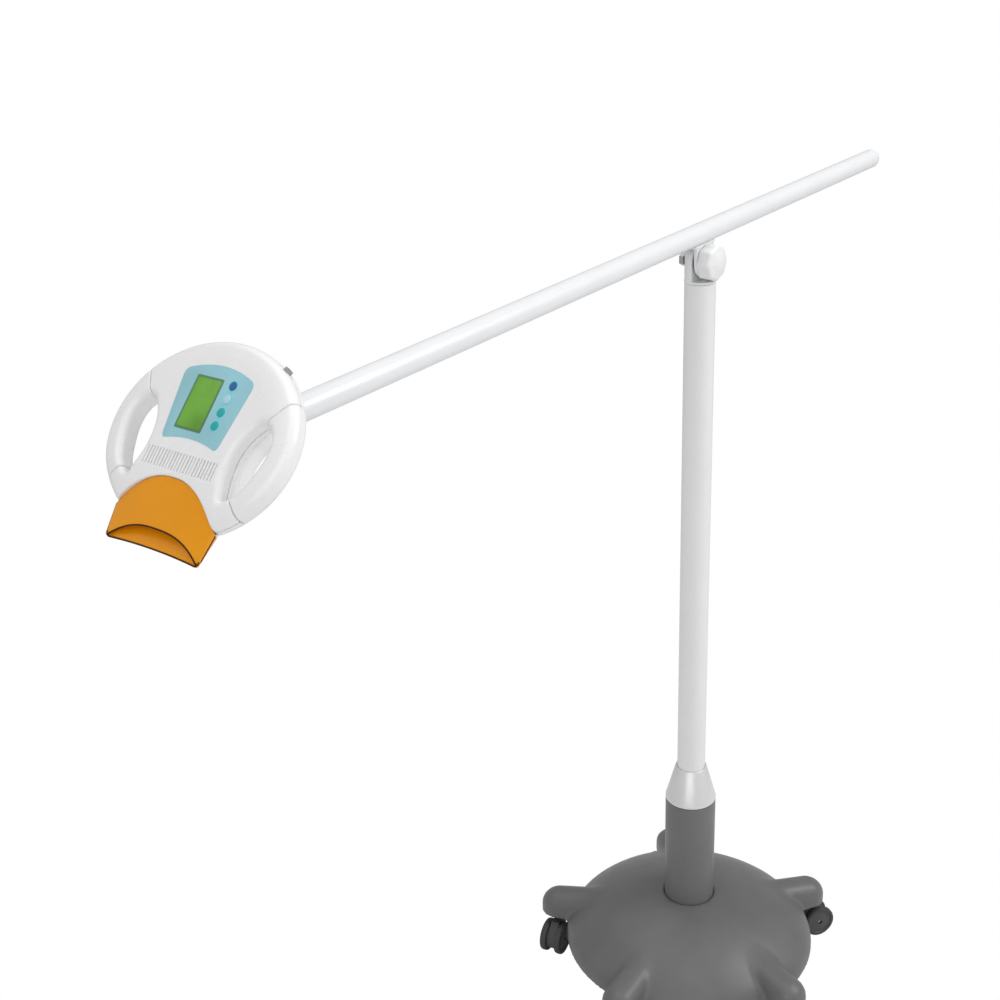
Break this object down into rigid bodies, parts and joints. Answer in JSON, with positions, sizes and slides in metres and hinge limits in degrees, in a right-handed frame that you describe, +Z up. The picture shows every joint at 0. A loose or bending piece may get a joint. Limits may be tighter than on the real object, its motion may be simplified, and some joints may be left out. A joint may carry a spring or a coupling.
{
  "type": "teeth whitening lamp",
  "caption": "Whitening lamp: an oval light head with side handles, panel and amber shield, on a tilting balanced arm and a post over a round caster base.",
  "frame": {"origin": "on the floor under the middle of the whole lamp, arm included", "axes": "+Z up, +X along the arm from the lamp head to the counterweight end, +Y across it"},
  "size_m": [1.3272, 0.4192, 1.1458],
  "materials": {
    "base_grey": "satin moulded",
    "socket_grey": "satin paint",
    "steel": "plain",
    "ballast_iron": "black paint",
    "black_plastic": "matt",
    "silver": "satin",
    "post_paint": "satin paint",
    "arm_paint": "satin paint",
    "knob_white": "fine grain",
    "head_white": "smooth",
    "overlay_blue": "printed sheet",
    "display_green": "smooth",
    "key_dark": "matt",
    "key_pale": "matt",
    "key_teal": "matt",
    "board": "solder mask",
    "heat_sink_metal": "plain",
    "lens": "clear",
    "amber": "smooth tinted",
    "caster_grey": "matt",
    "wheel_grey": "matt"
  },
  "bodies": {
    "base": {"base_cover": "base_grey", "base_plate": "steel", "ballast_weight": "ballast_iron", "post_socket": "socket_grey", "socket_bush": "black_plastic", "tie_bolt": "steel", "socket_collar": "silver", "post_tube": "post_paint"},
    "caster_1": {"caster_1_fork": "caster_grey", "caster_1_axle": "steel"},
    "caster_1_wheel_a": {"caster_1_wheel_a": "wheel_grey"},
    "caster_1_wheel_b": {"caster_1_wheel_b": "wheel_grey"},
    "caster_2": {"caster_2_fork": "caster_grey", "caster_2_axle": "steel"},
    "caster_2_wheel_a": {"caster_2_wheel_a": "wheel_grey"},
    "caster_2_wheel_b": {"caster_2_wheel_b": "wheel_grey"},
    "caster_3": {"caster_3_fork": "caster_grey", "caster_3_axle": "steel"},
    "caster_3_wheel_a": {"caster_3_wheel_a": "wheel_grey"},
    "caster_3_wheel_b": {"caster_3_wheel_b": "wheel_grey"},
    "caster_4": {"caster_4_fork": "caster_grey", "caster_4_axle": "steel"},
    "caster_4_wheel_a": {"caster_4_wheel_a": "wheel_grey"},
    "caster_4_wheel_b": {"caster_4_wheel_b": "wheel_grey"},
    "caster_5": {"caster_5_fork": "caster_grey", "caster_5_axle": "steel"},
    "caster_5_wheel_a": {"caster_5_wheel_a": "wheel_grey"},
    "caster_5_wheel_b": {"caster_5_wheel_b": "wheel_grey"},
    "post_head": {"post_head": "post_paint", "friction_disc": "black_plastic", "pivot_bolt": "steel"},
    "clamp_knob": {"clamp_knob": "knob_white"},
    "arm": {"arm_saddle": "arm_paint", "arm_tube": "arm_paint", "arm_end_cap": "knob_white", "arm_counterweight": "steel", "arm_front_bush": "black_plastic"},
    "wrist": {"wrist_knuckle": "arm_paint", "wrist_pin": "steel"},
    "wrist_lock_knob": {"wrist_lock_knob": "knob_white"},
    "head": {"head_bracket": "head_white", "top_shell": "head_white", "bottom_shell": "head_white", "handle_right": "head_white", "handle_left": "head_white", "panel_overlay": "overlay_blue", "lcd_window": "display_green", "lcd_module": "black_plastic", "control_board": "board", "light_lens": "lens", "led_board": "board", "heat_sink": "heat_sink_metal", "fan_frame": "black_plastic", "dc_inlet": "black_plastic", "amber_shield": "amber"},
    "fan_rotor": {"fan_rotor": "black_plastic"},
    "key_1": {"key_1": "key_dark"},
    "key_2": {"key_2": "key_pale"},
    "key_3": {"key_3": "key_teal"},
    "key_4": {"key_4": "key_teal"}
  },
  "joints": [
    {"name": "caster_1_swivel", "type": "hinge", "parent": "base", "child": "caster_1", "pos_m": [0.00015, -0.00719, 0], "axis": [0, 0, 1], "continuous": true},
    {"name": "caster_1_wheel_a_spin", "type": "hinge", "parent": "caster_1", "child": "caster_1_wheel_a", "pos_m": [0.01604, 0.00126, 0.024], "axis": [-0.4695, 0.8829, 0], "continuous": true},
    {"name": "caster_1_wheel_b_spin", "type": "hinge", "parent": "caster_1", "child": "caster_1_wheel_b", "pos_m": [0.01604, 0.00126, 0.024], "axis": [-0.4695, 0.8829, 0], "continuous": true},
    {"name": "caster_2_swivel", "type": "hinge", "parent": "base", "child": "caster_2", "pos_m": [0.14293, -0.18352, 0], "axis": [0, 0, 1], "continuous": true},
    {"name": "caster_2_wheel_a_spin", "type": "hinge", "parent": "caster_2", "child": "caster_2_wheel_a", "pos_m": [0.15566, -0.17079, 0.024], "axis": [-0.7071, 0.7071, 0], "continuous": true},
    {"name": "caster_2_wheel_b_spin", "type": "hinge", "parent": "caster_2", "child": "caster_2_wheel_b", "pos_m": [0.15566, -0.17079, 0.024], "axis": [-0.7071, 0.7071, 0], "continuous": true},
    {"name": "caster_3_swivel", "type": "hinge", "parent": "base", "child": "caster_3", "pos_m": [0.35475, -0.10221, 0], "axis": [0, 0, 1], "continuous": true},
    {"name": "caster_3_wheel_a_spin", "type": "hinge", "parent": "caster_3", "child": "caster_3_wheel_a", "pos_m": [0.36984, -0.11201, 0.024], "axis": [0.5446, 0.8387, 0], "continuous": true},
    {"name": "caster_3_wheel_b_spin", "type": "hinge", "parent": "caster_3", "child": "caster_3_wheel_b", "pos_m": [0.36984, -0.11201, 0.024], "axis": [0.5446, 0.8387, 0], "continuous": true},
    {"name": "caster_4_swivel", "type": "hinge", "parent": "base", "child": "caster_4", "pos_m": [0.34287, 0.12437, 0], "axis": [0, 0, 1], "continuous": true},
    {"name": "caster_4_wheel_a_spin", "type": "hinge", "parent": "caster_4", "child": "caster_4_wheel_a", "pos_m": [0.34932, 0.14117, 0.024], "axis": [-0.9336, 0.3584, 0], "continuous": true},
    {"name": "caster_4_wheel_b_spin", "type": "hinge", "parent": "caster_4", "child": "caster_4_wheel_b", "pos_m": [0.34932, 0.14117, 0.024], "axis": [-0.9336, 0.3584, 0], "continuous": true},
    {"name": "caster_5_swivel", "type": "hinge", "parent": "base", "child": "caster_5", "pos_m": [0.12372, 0.18309, 0], "axis": [0, 0, 1], "continuous": true},
    {"name": "caster_5_wheel_a_spin", "type": "hinge", "parent": "caster_5", "child": "caster_5_wheel_a", "pos_m": [0.10605, 0.17966, 0.024], "axis": [0.1908, -0.9816, 0], "continuous": true},
    {"name": "caster_5_wheel_b_spin", "type": "hinge", "parent": "caster_5", "child": "caster_5_wheel_b", "pos_m": [0.10605, 0.17966, 0.024], "axis": [0.1908, -0.9816, 0], "continuous": true},
    {"name": "arm_swivel", "type": "hinge", "parent": "base", "child": "post_head", "pos_m": [0.19288, 0.00291, 1.029], "axis": [0, 0, 1], "range_deg": [-170, 170]},
    {"name": "arm_tilt", "type": "hinge", "parent": "post_head", "child": "arm", "pos_m": [0.19288, 0.00291, 1.055], "axis": [0, 1, 0], "range_deg": [-35, 35]},
    {"name": "clamp_knob_turn", "type": "hinge", "parent": "post_head", "child": "clamp_knob", "pos_m": [0.19288, 0.00291, 1.055], "axis": [0, -1, 0], "continuous": true},
    {"name": "head_roll", "type": "hinge", "parent": "arm", "child": "wrist", "pos_m": [-0.52981, 0.00291, 1.06731], "axis": [0.9995, 0, 0.03], "range_deg": [-90, 90]},
    {"name": "head_tilt", "type": "hinge", "parent": "wrist", "child": "head", "pos_m": [-0.52981, 0.00291, 1.06731], "axis": [0, 1, 0], "range_deg": [-40, 55]},
    {"name": "wrist_lock_turn", "type": "hinge", "parent": "wrist", "child": "wrist_lock_knob", "pos_m": [-0.52981, 0.00291, 1.06731], "axis": [0, 1, 0], "continuous": true},
    {"name": "fan_spin", "type": "hinge", "parent": "head", "child": "fan_rotor", "pos_m": [-0.58335, 0.00291, 1.06345], "axis": [-0.7431, 0, 0.6691], "continuous": true},
    {"name": "key_1_press", "type": "slide", "parent": "head", "child": "key_1", "axis": [0.7431, 0, -0.6691], "range_m": [0, 0.0005], "stiffness_N_per_m": 600},
    {"name": "key_2_press", "type": "slide", "parent": "head", "child": "key_2", "axis": [0.7431, 0, -0.6691], "range_m": [0, 0.0005], "stiffness_N_per_m": 600},
    {"name": "key_3_press", "type": "slide", "parent": "head", "child": "key_3", "axis": [0.7431, 0, -0.6691], "range_m": [0, 0.0005], "stiffness_N_per_m": 600},
    {"name": "key_4_press", "type": "slide", "parent": "head", "child": "key_4", "axis": [0.7431, 0, -0.6691], "range_m": [0, 0.0005], "stiffness_N_per_m": 600}
  ]
}
